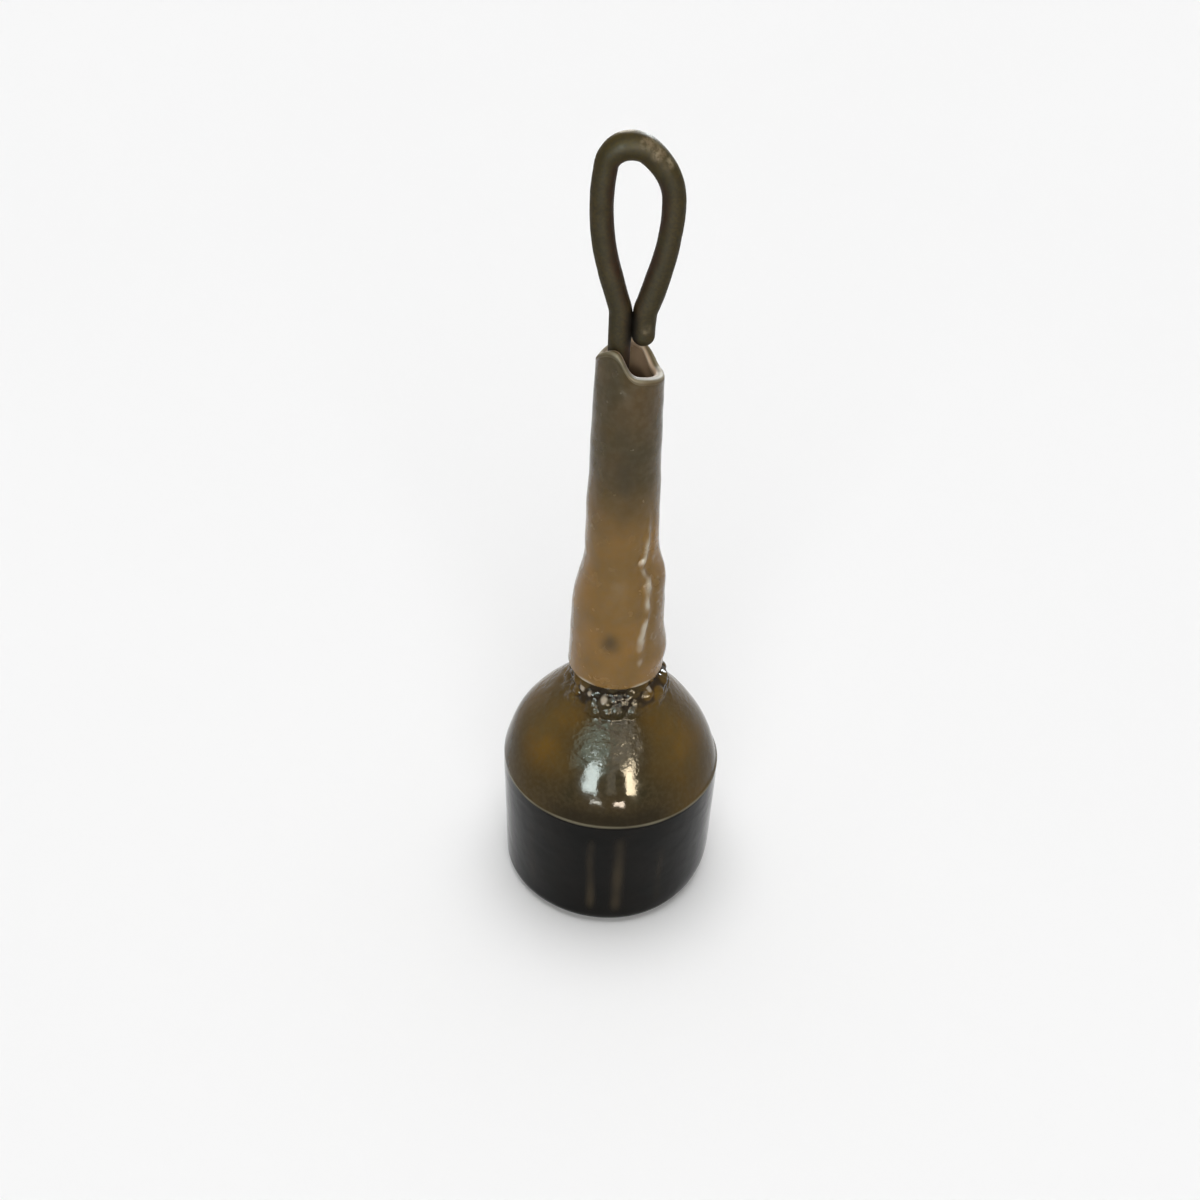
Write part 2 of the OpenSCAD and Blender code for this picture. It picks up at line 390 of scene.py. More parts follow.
def lip_line(points):
    """1 along the crest of the dip's lip, round the ridge."""
    z = points[:, 2] + 0.03 * wave(points, 3.0, 8)
    return bell((z - LIP_Z) / LIP_WIDTH) * (0.85 + 0.3 * wave(points, 2.0, 3))


def dip_height(points):
    """How far the dip stands out from its even skin: its lip, its collar's lumps and its waves."""
    r, turn, z = polar(points)
    outside = off_neck(r)
    height = smooth(0.02, 0.8, z) * outside * waves(points, DIP_WAVES)
    height += outside * lip_line(points) * (LIP_H + LIP_SIDE_H * sideways(points) ** 2)
    height += outside * swells(turn, z, SWELLS)

    # Lumps that the dip gathers into round the neck and on the seat, and fine wrinkles below them
    on_collar = smooth(*COLLAR_Z, z) * outside
    small = bubbles(points, SMALL_CELL, 9) - 0.4
    lumps = bubbles(points, COLLAR_CELL, 4) - 0.5 + 0.3 * small
    height += on_collar * COLLAR_LUMP * lumps
    on_seat = smooth(*SEAT_LOW_Z, z) * (1 - smooth(*SEAT_HIGH_Z, z)) * (1 - outside)
    height += on_seat * smooth(STUB_R + 0.05, SEAT_R, r) * COLLAR_LUMP * (lumps + 0.3)
    height += neck_part(points) * (1 - on_collar) * waves(points, WRINKLES)
    # Small bumps in the collar, which the colour paints pale as highlights
    height += FLECK_H * collar_flecks(points)
    on_stub = smooth(SEAT_Z - 0.01, SEAT_Z + 0.2, z) * (1 - outside)
    height += on_stub * (STUB_WAVE * wave(points, 1.4, 7) - STUB_WAVE)
    return height


def collar_flecks(points):
    """1 at the small bumps in the collar that are painted pale as highlights."""
    r, turn, z = polar(points)
    made = np.zeros(len(points))
    for degrees, middle, reach, strength in FLECKS:
        gap = np.hypot(angle_gap(turn, math.radians(degrees)) * r, z - middle) / reach
        made = np.maximum(made, strength * bell(gap))
    return made * smooth(STUB_R + 0.1, STUB_R + 0.3, r)


def side_runs(points):
    """1 along the paler streaks down the side, which are painted reflections."""
    _, turn, z = polar(points)
    degrees = np.degrees(turn) + 0.8 * wave(points, 3.5, 31)
    made = np.zeros(len(points))
    for middle, half, top, strength in RUNS:
        gap = (degrees - middle + 180) % 360 - 180
        made += strength * bell(gap / half) * (1 - smooth(top - 1.5, top, z))
    return made * smooth(0.7, 2.4, z) * (0.8 + 0.5 * wave(points, 2.4, 32))


def amber_part(points):
    """How amber the shoulder is: a painted glow of light shining through the dip, most at its upper
    left and right.
    """
    across = sideways(points)
    made = smooth(0.3, 0.88, across + 0.15 * wave(points, 2.4, 33))
    made *= 1 - 0.45 * smooth(0.85, 1.0, across)
    least = 0.3 + 0.2 * smooth(-2, 2, points[:, 0])
    height = points[:, 2] + 0.5 * wave(points, 2.0, 36)
    return made * (least + (1.05 - least) * smooth(11.0, 13.8, height))


def make_dipped_coating(material):
    """The dip's outer skin with its relief, and its inner face round the lead."""
    outline = resample(dipped_outline(), DIP_STEP)
    outline[:, 0] = np.minimum(outline[:, 0], RIDGE_R - SKIN_ROOM)
    even, normals, faces = closed_revolve(outline, DIP_COLUMNS)
    points = even + normals * dip_height(even)[:, None]
    over = np.hypot(points[:, 0], points[:, 1]) / (RIDGE_R - RELIEF_ROOM)
    points[:, :2] /= np.maximum(over, 1)[:, None]
    points[:, 2] = np.maximum(points[:, 2], 0)
    inner, _, inner_faces = closed_revolve(resample(lead_outline(), LEAD_STEP), LEAD_COLUMNS)
    faces += [tuple(i + len(points) for i in face) for face in inner_faces]

    # What its colour follows, which is nothing on the inner face
    r, _, z = polar(even)
    off_stub = smooth(STUB_R + 0.05, STUB_R + 0.3, r)
    fields = {
        # the lip's crest, which is painted pale as a highlight
        "lip": lip_line(even),
        "amber": amber_part(even),
        "runs": side_runs(even),
        "neck": neck_part(even),
        # painted shade low on the shoulder, in front and behind
        "deep": (1 - smooth(0.3, 0.75, sideways(even))) * (1 - smooth(9.9, 11.6, z)),
        "fleck": collar_flecks(even),
        # painted shade in the hollows between the collar's lumps
        "pit": off_stub * smooth(*PIT_Z, z) * (1 - bubbles(even, COLLAR_CELL, 4)),
    }
    hidden = np.zeros(len(inner))
    return piece(
        "dipped_coating", np.vstack([points, inner]), faces, material,
        "weight", "weight_coating", "weight_dip",
        **{name: np.append(values, hidden) for name, values in fields.items()},
    )


# The coating on the wire

def bend(mid, radius, start, end, steps):
    """Stations [x, z, heading] on a round bend, without the first, angles in radians."""
    way = math.copysign(math.pi / 2, end - start)
    return [
        (mid[0] + radius * math.cos(t), mid[1] + radius * math.sin(t), t + way)
        for t in np.linspace(start, end, steps + 1)[1:]
    ]


def half_eye(reach):
    """Stations up one half of the eye, from the pinch to the top, on the side of +X."""
    wide_x = EYE_W / 2 + COATED_R
    pinch_z = MOUTH_Z + PINCH_RISE
    wide_z = pinch_z + EYE_RISE
    crown_r = CROWN_SHARE * (wide_x - CROWN_SHIFT)
    crown_up = CROWN_RISE - crown_r
    side_r = (reach ** 2 + crown_up ** 2 - crown_r ** 2) / (2 * (reach - crown_r))
    side_turn = math.atan2(crown_up, side_r - reach)
    flank_w = wide_x - LEG_X
    bend_sum = FLANK_SHARE * (EYE_RISE ** 2 + flank_w ** 2) / (2 * flank_w)
    flank_r = bend_sum - PINCH_BEND_R
    offset = bend_sum - flank_w
    run = math.sqrt(offset ** 2 + EYE_RISE ** 2 - bend_sum ** 2)
    turn = math.atan2(EYE_RISE, offset) - math.atan2(run, bend_sum)
    pinch_end = bend((LEG_X + PINCH_BEND_R, pinch_z), PINCH_BEND_R, math.pi, math.pi - turn, 8)
    flank_start = (
        wide_x - flank_r + flank_r * math.cos(turn),
        wide_z - flank_r * math.sin(turn),
        math.pi / 2 - turn,
    )
    a = pinch_end[-1]
    straight = [
        (a[0] + (flank_start[0] - a[0]) * s, a[1] + (flank_start[1] - a[1]) * s, a[2])
        for s in np.linspace(0, 1, 9)[1:]
    ]
    return (
        [(LEG_X, pinch_z, math.pi / 2)]
        + pinch_end
        + straight
        + bend((wide_x - flank_r, wide_z), flank_r, -turn, 0, 22)
        + bend((wide_x - side_r, wide_z), side_r, 0, side_turn, 14)
        + bend((wide_x - reach, wide_z + crown_up), crown_r, side_turn, math.pi / 2, 14)
    )


def eye_stations():
    """Stations of the coated wire: up the stem, round the eye and down the free leg."""
    wide_x = EYE_W / 2 + COATED_R
    up = [(-x, z, math.pi - h) for x, z, h in half_eye(wide_x - CROWN_SHIFT)]
    half = half_eye(wide_x + CROWN_SHIFT)
    down = [(x, z, h + math.pi) for x, z, h in half[-2::-1]]
    pinch_z = MOUTH_Z + PINCH_RISE
    stem_heights = np.linspace(STUB_Z - STEM_SUNK, pinch_z, 90)[:-1]
    stem = [(-LEG_X, z, math.pi / 2) for z in stem_heights]
    leg_heights = np.linspace(pinch_z, MOUTH_Z + TIP_RISE + COATED_R, 9)[1:]
    leg = [(LEG_X, z, 1.5 * math.pi) for z in leg_heights]
    return stem + up + down + leg


WIRE_WAVES = ((0.024, 1.7, 11), (0.012, 0.6, 12))
# How far the coating is drawn in inside the sleeve, and its extra thickness where the two legs
# meet and on the outside of the right flank
LEG_SINK = 0.014
MEET_FILL = 0.045
FLANK_FILL = 0.12
# Where the eye's coating is rubbed pale and painted with a highlight: place, reach and strength
WORN = (
    ((0.45, -0.45, 54.6), 0.5, 0.7),
    ((1.0, -0.45, 54.05), 0.45, 0.75),
    ((1.5, -0.45, 53.55), 0.4, 0.65),
    ((0.3, 0.6, 54.9), 0.6, 0.5),
    ((0.8, -0.5, 43.4), 0.5, 0.35),
)


def worn_places(points):
    """How far the coating is rubbed pale and painted with a highlight, from 0 to 1."""
    made = np.zeros(len(points))
    for place, reach, strength in WORN:
        gap = np.linalg.norm(points - np.array(place), axis=1) / reach
        made = np.maximum(made, strength * bell(gap))
    return np.clip(made * (1.1 + 0.9 * wave(points, 0.35, 35)), 0, 1)


def make_coated_eye(material):
    """The coating on the wire, swept along its stations, with a rounded free end."""
    stations = eye_stations()
    rings = [(x, z, h, COATED_R + CROWN_COAT * math.cos(h) ** 2) for x, z, h in stations]
    start_x, start_z, _ = stations[0]
    end_x, end_z, end_heading = stations[-1]
    for t in np.linspace(0, math.pi / 2, 9)[1:-1]:
        rings.append((end_x, end_z - COATED_R * math.sin(t), end_heading, COATED_R * math.cos(t)))
    points, outward = [], []
    for x, z, h, radius in rings:
        for q in np.linspace(0, 2 * math.pi, WIRE_SIDES, endpoint=False):
            way = np.array([-math.cos(q) * math.sin(h), math.sin(q), math.cos(q) * math.cos(h)])
            points.append(np.array([x, 0, z]) + way * radius)
            outward.append(way)
    even, outward = np.array(points), np.array(outward)

    # Waves, which are low inside the sleeve, and the fill where the legs meet
    z = even[:, 2]
    pinch_z, tip_z = MOUTH_Z + PINCH_RISE, MOUTH_Z + TIP_RISE
    bare = smooth(pinch_z, pinch_z + 2.5, z)
    lump = waves(even, WIRE_WAVES)
    height = bare * lump + (1 - bare) * (0.5 * lump - LEG_SINK)
    inward = np.clip(-outward[:, 0] * np.sign(even[:, 0]), 0, 1)
    met = smooth(tip_z - 0.5, tip_z + 0.6, z) * (1 - smooth(pinch_z, pinch_z + 1.2, z))
    height += MEET_FILL * inward ** 2 * met
    fuller = bell((z - pinch_z - 1.3) / 1.5) * np.clip(even[:, 0], 0, 1)
    height += FLANK_FILL * fuller * np.clip(outward[:, 0], 0, 1)

    ends = [[start_x, 0, start_z], [end_x, 0, end_z - COATED_R]]
    points = np.vstack([even + outward * height[:, None], ends])
    even = np.vstack([even, ends])
    inward, met = np.append(inward, [0, 0]), np.append(met, [0, 0])
    return piece(
        "dipped_eye", points, closed_faces(len(rings), WIRE_SIDES), material,
        "weight", "eye_coating", "eye_dip",
        worn=worn_places(even),
        inner=inward * (0.6 + 0.8 * wave(even, 1.5, 34)),
        # painted shade where the two legs meet
        gap=inward * met,
    )


# The soft sleeve

# The uneven mouth: angles in degrees, and how far it stands over or under the straight cut
MOUTH_EDGE = (
    (-180, 0.3), (-165, 0.8), (-150, 1.15), (-138, 1.35), (-124, 1.45), (-112, 1.3),
    (-104, 0.95), (-95, 0.4), (-81, 0.0), (-55, -0.2), (-22, -0.5), (0, -0.7),
    (32, -0.7), (60, 0.3), (90, 0.65), (135, 0.25), (160, 0.1), (180, 0.3),
)
# The mouth's tab, which hugs the stem, and the room inside the mouth for the eye's legs
TAB_TURN = math.radians(-124)
TAB_HALF = math.radians(34)
TAB_HUG = 0.25
MOUTH_ROOM = 0.17
# The crinkle up the sleeve's right front: height over the foot, and its angle there in degrees
CRINKLE_PATH = (
    (1.4, -62), (3.9, -60), (5.4, -52), (6.9, -48), (8.2, -45), (9.2, -56), (9.9, -48), (11.2, -45),
)
SLEEVE_WAVES = ((0.045, 0.9, 21), (0.018, 0.35, 22))
# Swells beside the crinkle, as swells() takes them, with heights over the foot
SLEEVE_SWELLS = ((-6, 7.7, 34, 1.5, 0.36), (-8, 1.7, 32, 1.0, 0.2), (170, 8.4, 40, 1.4, -0.06))
# Soft darker patches: angle in degrees, height over the foot, half width and half height, and depth
STAINS = (
    (-98, 3.7, 0.62, 0.8, 1.1), (-83, 16.7, 1.4, 3.2, 0.5), (-117, 21.4, 0.8, 1.8, 0.5),
    (-92, 15.0, 0.8, 5.0, 0.3),
)
# Angles at which the foot's edge carries painted highlights, and how far to each side
FOOT_GLINTS = (-56, -128)
GLINT_HALF = 13


def sleeve_outer(z):
    """Outer radius of the sleeve at height z."""
    low_r = FOOT_R - FOOT_DRAW
    below = np.interp(z, [FOOT_Z, FOOT_Z + FLARE_LOW], [FOOT_R, low_r])
    above = np.interp(z, [FOOT_Z + FLARE_HIGH, MOUTH_Z], [WAIST_R, MOUTH_R])
    return below + (above - low_r) * smooth(FOOT_Z + FLARE_LOW, FOOT_Z + FLARE_HIGH, z)


def sleeve_bore(z):
    """Radius of the sleeve's bore at height z."""
    places = [TAPER_Z, STUB_Z, FOOT_Z + FLARE_HIGH, MOUTH_Z]
    return np.interp(z, places, [FOOT_BORE_R, TIP_BORE_R, WAIST_BORE_R, LEG_BORE_R])


def sleeve_loop():
    """Half section of the sleeve: up the outside, round the mouth, down the bore to the foot."""
    foot = arc((FOOT_R - RIM_ROUND, FOOT_Z + RIM_ROUND), RIM_ROUND, -math.pi / 2, 0, 6)
    heights = np.linspace(FOOT_Z + 2 * RIM_ROUND, MOUTH_Z - 2 * RIM_ROUND, 200)
    outside = list(zip(sleeve_outer(heights), heights))
    mouth = arc((MOUTH_R - RIM_ROUND, MOUTH_Z - RIM_ROUND), RIM_ROUND, 0, math.pi / 2, 6)
    mouth += arc((LEG_BORE_R + RIM_ROUND, MOUTH_Z - RIM_ROUND), RIM_ROUND, math.pi / 2, math.pi, 6)
    bore = list(zip(sleeve_bore(heights), heights))[::-1]
    foot_edge = [(FOOT_BORE_R, FOOT_Z + BORE_EDGE), (FOOT_BORE_R + BORE_EDGE, FOOT_Z)]
    return foot + outside + mouth + bore + foot_edge


def crinkle(points, turn, z):
    """How far the outside stands out at the crinkle up its right front, and how far it is painted
    pale there, as a whitened crease and as painted highlights, from 0 to 1."""
    rise = z - FOOT_Z
    path = np.radians(np.interp(rise, *zip(*CRINKLE_PATH)))
    gap = angle_gap(turn, path + 0.05 * wave(points, 0.7, 24))
    along = smooth(1.2, 3.0, rise) * (1 - smooth(11.0, 13.5, rise))
    fold = bell(gap / 0.06) - 0.55 * bell((gap + 0.15) / 0.09)
    fold -= 0.5 * bell((gap - 0.17) / 0.1)
    pale = along * bell(gap / 0.075) * (0.6 + 0.9 * wave(points, 0.8, 42))
    side = angle_gap(turn, path + 0.42)
    mottle = along * bell(side / 0.3) * np.clip(2.2 * wave(points, 0.35, 43), 0, 1)
    return along * fold * (0.12 + 0.09 * wave(points, 0.6, 23)), np.clip(pale + 0.35 * mottle, 0, 1)


def mouth_rise(turn):
    """How far the mouth stands over its straight cut, smoothed over 16 degrees, at each angle."""
    turns, rises = zip(*MOUTH_EDGE)
    shifts = np.linspace(-8, 8, 9)
    made = 0
    for shift in shifts:
        degrees = (np.degrees(turn) + shift + 180) % 360 - 180
        made = made + np.interp(degrees, turns, rises) / len(shifts)
    return made


def make_sleeve(material):
    """The soft sleeve, with its crinkle, its swells and its uneven mouth."""
    loop = resample(sleeve_loop(), SLEEVE_STEP)
    points, normals = revolve(loop, SLEEVE_COLUMNS)
    r, turn, z = polar(points)
    bore_r, outer_r = sleeve_bore(z), sleeve_outer(z)
    outer = np.clip((r - bore_r) / np.maximum(outer_r - bore_r, 1e-6), 0, 1)
    off_foot = smooth(FOOT_Z, FOOT_Z + 1.2, z)

    # Soft waves on the outside, the crinkle and the swells beside it
    even = np.stack([np.cos(turn), np.sin(turn), z / 2.5], 1)
    fold, pale = crinkle(points, turn, z)
    height = waves(even, SLEEVE_WAVES) + fold + swells(turn, z - FOOT_Z, SLEEVE_SWELLS)
    height *= outer * (0.3 + 0.7 * off_foot)
    moved = points + normals * height[:, None]

    # The uneven mouth, with a tab that hugs the stem and room inside for the eye's legs
    top = smooth(MOUTH_Z - 7.0, MOUTH_Z, z)
    tab = np.exp(-(np.abs(angle_gap(turn, TAB_TURN) / TAB_HALF) ** 3))
    rise = mouth_rise(turn)
    moved[:, 2] += top ** 2 * rise
    room = MOUTH_ROOM * smooth(MOUTH_Z - 2.5, MOUTH_Z - 0.3, z) * (1 - outer) * np.clip(rise, 0, 1)
    moved[:, :2] *= (1 + (room - top ** 3 * tab * TAB_HUG) / np.maximum(r, 1))[:, None]
    faces = grid_faces(len(loop), SLEEVE_COLUMNS, wrap_rows=True)

    # What its colour follows
    # Painted highlight along the mouth's cut edge
    rims = smooth(MOUTH_Z - 0.3, MOUTH_Z - 0.05, z) * smooth(0.35, 0.8, outer)
    on_foot = 1 - smooth(FOOT_Z + 0.1, FOOT_Z + 0.45, z)
    # Painted highlights on the foot's edge
    for degrees in FOOT_GLINTS:
        across = np.degrees(angle_gap(turn, math.radians(degrees))) / GLINT_HALF
        pale = np.maximum(pale, on_foot * bell(across))
    shade = np.zeros(len(points))
    for degrees, middle, half_w, half_h, depth in STAINS:
        across = angle_gap(turn, math.radians(degrees)) * r / half_w
        shade += depth * np.exp(-across ** 2 - ((z - FOOT_Z - middle) / half_h) ** 2)
    inside = 1 - smooth(0.1, 0.5, outer)
    return piece(
        "soft_sleeve", moved, faces, material, "sleeve_tube", "sleeve", "sleeve",
        rim=rims * (0.7 + 0.5 * wave(points, 0.8, 25)),
        cut=smooth(MOUTH_Z - 0.45, MOUTH_Z - 0.15, z),
        shade=shade * (1 + 0.4 * wave(points, 1.2, 26)),
        inside=inside,
        # painted light on the inner wall just below the mouth
        mouth=inside * smooth(MOUTH_Z - 2.2, MOUTH_Z - 0.8, z),
        crease=pale * smooth(0.5, 0.9, outer),
        low=1 - smooth(FOOT_Z + 9.0, FOOT_Z + 18.0, z + 1.0 * wave(points, 3.0, 27)),
    )


# Materials

class Shader:
    """A material with one Principled node, and short ways to add nodes in front of it."""

    def __init__(self, name):
        self.material = bpy.data.materials.new(name)
        self.material.use_nodes = True
        self.tree = self.material.node_tree
        self.surface = self.tree.nodes["Principled BSDF"]
        self.place = self.add("ShaderNodeTexCoord").outputs["Object"]

    def add(self, kind, **settings):
        """A new node with these settings."""
        made = self.tree.nodes.new(kind)
        for name, value in settings.items():
            setattr(made, name, value)
        return made

    def join(self, source, target):
        """A link from an output to an input."""
        self.tree.links.new(source, target)

    def drive(self, **sources):
        """Node outputs that the Principled node's own sockets follow."""
        for name, source in sources.items():
            self.join(source, self.surface.inputs[name.replace("_", " ")])

    def set(self, **values):
        """Plain numbers and colours on the Principled node's own sockets."""
        for name, value in values.items():
            self.surface.inputs[name.replace("_", " ")].default_value = value

    def noise(self, size, detail, stretch=(1, 1, 1)):
        """Noise from 0 to 1 with features of about size millimetres."""
        mapping = self.add("ShaderNodeMapping")
        mapping.inputs["Scale"].default_value = stretch
        self.join(self.place, mapping.inputs["Vector"])
        made = self.add("ShaderNodeTexNoise")
        made.inputs["Scale"].default_value = 1 / (size * MM)
        made.inputs["Detail"].default_value = detail
        self.join(mapping.outputs["Vector"], made.inputs["Vector"])
        return made.outputs["Fac"]

    def mottle(self, size, detail, low, high, to_low=0.0, to_high=1.0):
        """Noise of about size millimetres, with low..high taken to to_low..to_high."""
        return self.spread(self.noise(size, detail), low, high, to_low, to_high)

    def field(self, name):
        """A value that the mesh carries at its points."""
        return self.add("ShaderNodeAttribute", attribute_name=name).outputs["Fac"]

    def band(self, value, middle, half, peak):
        """peak at a height in millimetres, falling to nothing over half on each side."""
        rise = self.spread(value, (middle - half) * MM, middle * MM, 0.0, peak)
        fall = self.spread(value, middle * MM, (middle + half) * MM, 1.0, 0.0)
        return self.combine("MULTIPLY", rise, fall)

    def height(self):
        """Height over the floor, in metres."""
        split = self.add("ShaderNodeSeparateXYZ")
        self.join(self.place, split.inputs[0])
        return split.outputs["Z"]

    def spread(self, value, low, high, to_low=0.0, to_high=1.0):
        """value taken smoothly from low..high to to_low..to_high."""
        made = self.add("ShaderNodeMapRange", interpolation_type="SMOOTHSTEP")
        made.inputs["From Min"].default_value = low
        made.inputs["From Max"].default_value = high
        made.inputs["To Min"].default_value = to_low
        made.inputs["To Max"].default_value = to_high
        self.join(value, made.inputs["Value"])
        return made.outputs["Result"]

    def combine(self, operation, a, b):
        """A Math node on two outputs."""
        made = self.add("ShaderNodeMath", operation=operation)
        self.join(a, made.inputs[0])
        self.join(b, made.inputs[1])
        return made.outputs[0]

    def blend(self, factor, first, second):
        """A mix of two colours, each a plain colour or another node's output."""
        made = self.add("ShaderNodeMix", data_type="RGBA")
        self.join(factor, made.inputs["Factor"])
        for socket, colour in ((made.inputs[6], first), (made.inputs[7], second)):
            if isinstance(colour, tuple):
                socket.default_value = (*colour, 1)
            else:
                self.join(colour, socket)
        return made.outputs[2]

    def tint(self, ground, colour, value, low, high, amount=1.0):
        """ground, which goes over to colour by amount as value goes from low to high."""
        return self.blend(self.spread(value, low, high, 0.0, amount), ground, colour)

    def bump(self, *layers):
        """Bump from pairs of a 0 to 1 height and its depth in millimetres."""
        normal = None
        for value, depth in layers:
            made = self.add("ShaderNodeBump")
            made.inputs["Strength"].default_value = 1.0
            made.inputs["Distance"].default_value = depth * MM
            self.join(value, made.inputs["Height"])
            if normal is not None:
                self.join(normal, made.inputs["Normal"])
            normal = made.outputs["Normal"]
        self.join(normal, self.surface.inputs["Normal"])


def dip_material():
    """The thick glossy dip: amber and olive on the shoulder, near black on the side."""
    s = Shader("amber_dip")
    broad = s.mottle(2.6, 2.0, 0.35, 0.65)
    fine = s.mottle(0.3, 4.0, 0.3, 0.75)
    height = s.height()

    # The shoulder, with a painted amber glow, pale grain, painted shade between the collar's lumps
    # and low on the front and back, and painted highlights on small bumps in the collar
    olive = s.blend(broad, (0.033, 0.025, 0.009), (0.046, 0.031, 0.011))
    amber = s.blend(broad, (0.143, 0.074, 0.007), (0.104, 0.062, 0.012))
    # Painted glow: the shoulder is more amber where light shines through the dip
    shoulder = s.blend(s.field("amber"), olive, amber)
    shoulder = s.tint(shoulder, (0.100, 0.074, 0.034), fine, 0.0, 1.0, 0.25)
    # Painted shade: darker in the hollows between the collar's lumps
    shoulder = s.tint(shoulder, (0.014, 0.008, 0.003), s.field("pit"), 0.5, 1.0, 0.8)
    # Painted shade: darker low on the shoulder, in front and behind
    shoulder = s.tint(shoulder, (0.014, 0.010, 0.004), s.field("deep"), 0.0, 1.0, 0.7)
    # Painted highlights on the small bumps in the collar
    shoulder = s.tint(shoulder, (0.50, 0.43, 0.33), s.field("fleck"), 0.25, 0.8, 0.9)

    # The side, with painted reflections: paler streaks down it and a paler band over the base
    side = s.blend(broad, (0.0030, 0.0030, 0.0022), (0.0055, 0.0045, 0.0032))
    # Painted reflections: paler streaks down the side
    side = s.tint(side, (0.040, 0.030, 0.017), s.field("runs"), 0.0, 1.0, 0.95)
    # Painted reflection: a paler band over the base's rounded edge
    side = s.blend(s.band(height, 0.75, 0.35, 0.2), side, (0.024, 0.022, 0.018))

    on_shoulder = s.spread(height, (LIP_Z - 0.12) * MM, (LIP_Z + 0.1) * MM)
    ground = s.blend(on_shoulder, side, shoulder)
    # Painted highlight: the crest of the lip is painted pale, on top of its real bead
    ground = s.tint(ground, (0.185, 0.165, 0.110), s.field("lip"), 0.25, 0.95, 0.85)
    s.drive(Base_Color=ground, Roughness=s.mottle(1.1, 3.0, 0.3, 0.7, 0.06, 0.13))
    s.set(IOR=1.2)
    grain = s.combine("MULTIPLY", s.noise(0.24, 3.0), s.field("neck"))
    s.bump((s.noise(0.6, 3.0), 0.010), (s.noise(0.12, 2.0), 0.0015), (grain, 0.035))
    return s.material


def wire_dip_material():
    """The satin dip on the wire: olive, browner on the inside of the eye, rubbed in places and
    painted there with a highlight, with painted shade where the legs meet.
    """
    s = Shader("wire_dip")
    broad = s.mottle(1.5, 3.0, 0.38, 0.62)
    fine = s.mottle(0.2, 4.0, 0.3, 0.7)
    ground = s.blend(broad, (0.037, 0.028, 0.009), (0.046, 0.032, 0.009))
    ground = s.tint(ground, (0.038, 0.026, 0.003), s.height(), 52.0 * MM, 54.0 * MM, 0.8)
    ground = s.tint(ground, (0.034, 0.015, 0.006), s.field("inner"), 0.05, 0.65)
    ground = s.tint(ground, (0.022, 0.018, 0.010), fine, 0.0, 1.0, 0.5)
    # Painted shade: near black where the two legs meet and touch
    ground = s.tint(ground, (0.006, 0.004, 0.002), s.field("gap"), 0.2, 0.9)
    # Rubbed pale patches, which also serve as a painted highlight on the crown
    rubbed = s.spread(s.field("worn"), 0.15, 0.8)
    worn = s.combine("MULTIPLY", rubbed, s.mottle(0.18, 3.0, 0.3, 0.6, 0.35, 1.0))
    pale = s.blend(s.mottle(0.5, 2.0, 0.4, 0.6), (0.27, 0.22, 0.135), (0.19, 0.14, 0.08))
    satin = s.mottle(0.6, 3.0, 0.3, 0.7, 0.45, 0.62)
    s.drive(Base_Color=s.blend(worn, ground, pale), Roughness=satin)
    s.set(IOR=1.18)
    s.bump((s.noise(0.4, 3.0), 0.012), (s.noise(0.1, 3.0), 0.004))
    return s.material


def sleeve_material():
    """The soft sleeve: smoky and milky above, amber low down, where the stub shows through."""
    s = Shader("smoky_sleeve")
    clouds = s.mottle(3.2, 2.0, 0.35, 0.65)
    specks = s.mottle(0.45, 3.0, 0.25, 0.8)
    smoke = s.blend(clouds, (0.074, 0.052, 0.014), (0.104, 0.064, 0.019))
    amber = s.blend(clouds, (0.232, 0.130, 0.029), (0.300, 0.158, 0.032))
    ground = s.tint(smoke, amber, s.field("low"), 0.0, 1.0)
    ground = s.tint(ground, (0.24, 0.19, 0.12), specks, 0.0, 1.0, 0.15)
    ground = s.tint(ground, (0.045, 0.036, 0.016), s.field("shade"), 0.0, 1.2, 0.8)
    # The bore's own brown, painted lighter as light coming through the wall
    ground = s.tint(ground, (0.120, 0.072, 0.045), s.field("inside"), 0.0, 1.0, 0.85)
    # Painted light: the inner wall below the mouth is pale, as if lit through the wall
    ground = s.tint(ground, (0.53, 0.38, 0.25), s.field("mouth"), 0.0, 1.0, 0.8)
    # Painted highlight along the mouth's cut edge
    ground = s.tint(ground, (0.36, 0.31, 0.20), s.field("rim"), 0.2, 1.0, 0.6)
    # Pale along the crinkle, partly whitened plastic and partly painted highlights, and painted
    # highlights on the foot's edge
    ground = s.tint(ground, (0.66, 0.60, 0.47), s.field("crease"), 0.1, 0.9, 0.85)
    satin = s.mottle(1.2, 3.0, 0.3, 0.7, 0.16, 0.28)
    rough_cut = s.spread(s.field("cut"), 0.0, 1.0, 0.0, 0.6)
    s.drive(Base_Color=ground, Roughness=s.combine("MAXIMUM", satin, rough_cut))
    s.set(IOR=1.32, Transmission_Weight=0.22)
    s.bump((s.noise(0.9, 2.0), 0.02), (s.noise(0.2, 3.0), 0.003))
    return s.material


def lead_material():
    """Dull cast lead, which the dip covers."""
    s = Shader("cast_lead")
    grain = s.mottle(0.4, 4.0, 0.3, 0.7)
    ground = s.blend(grain, (0.16, 0.165, 0.17), (0.24, 0.245, 0.255))
    s.drive(Base_Color=ground, Roughness=s.mottle(0.9, 3.0, 0.3, 0.7, 0.45, 0.65))
    s.set(Metallic=0.8)
    s.bump((s.noise(0.5, 4.0), 0.02))
    return s.material


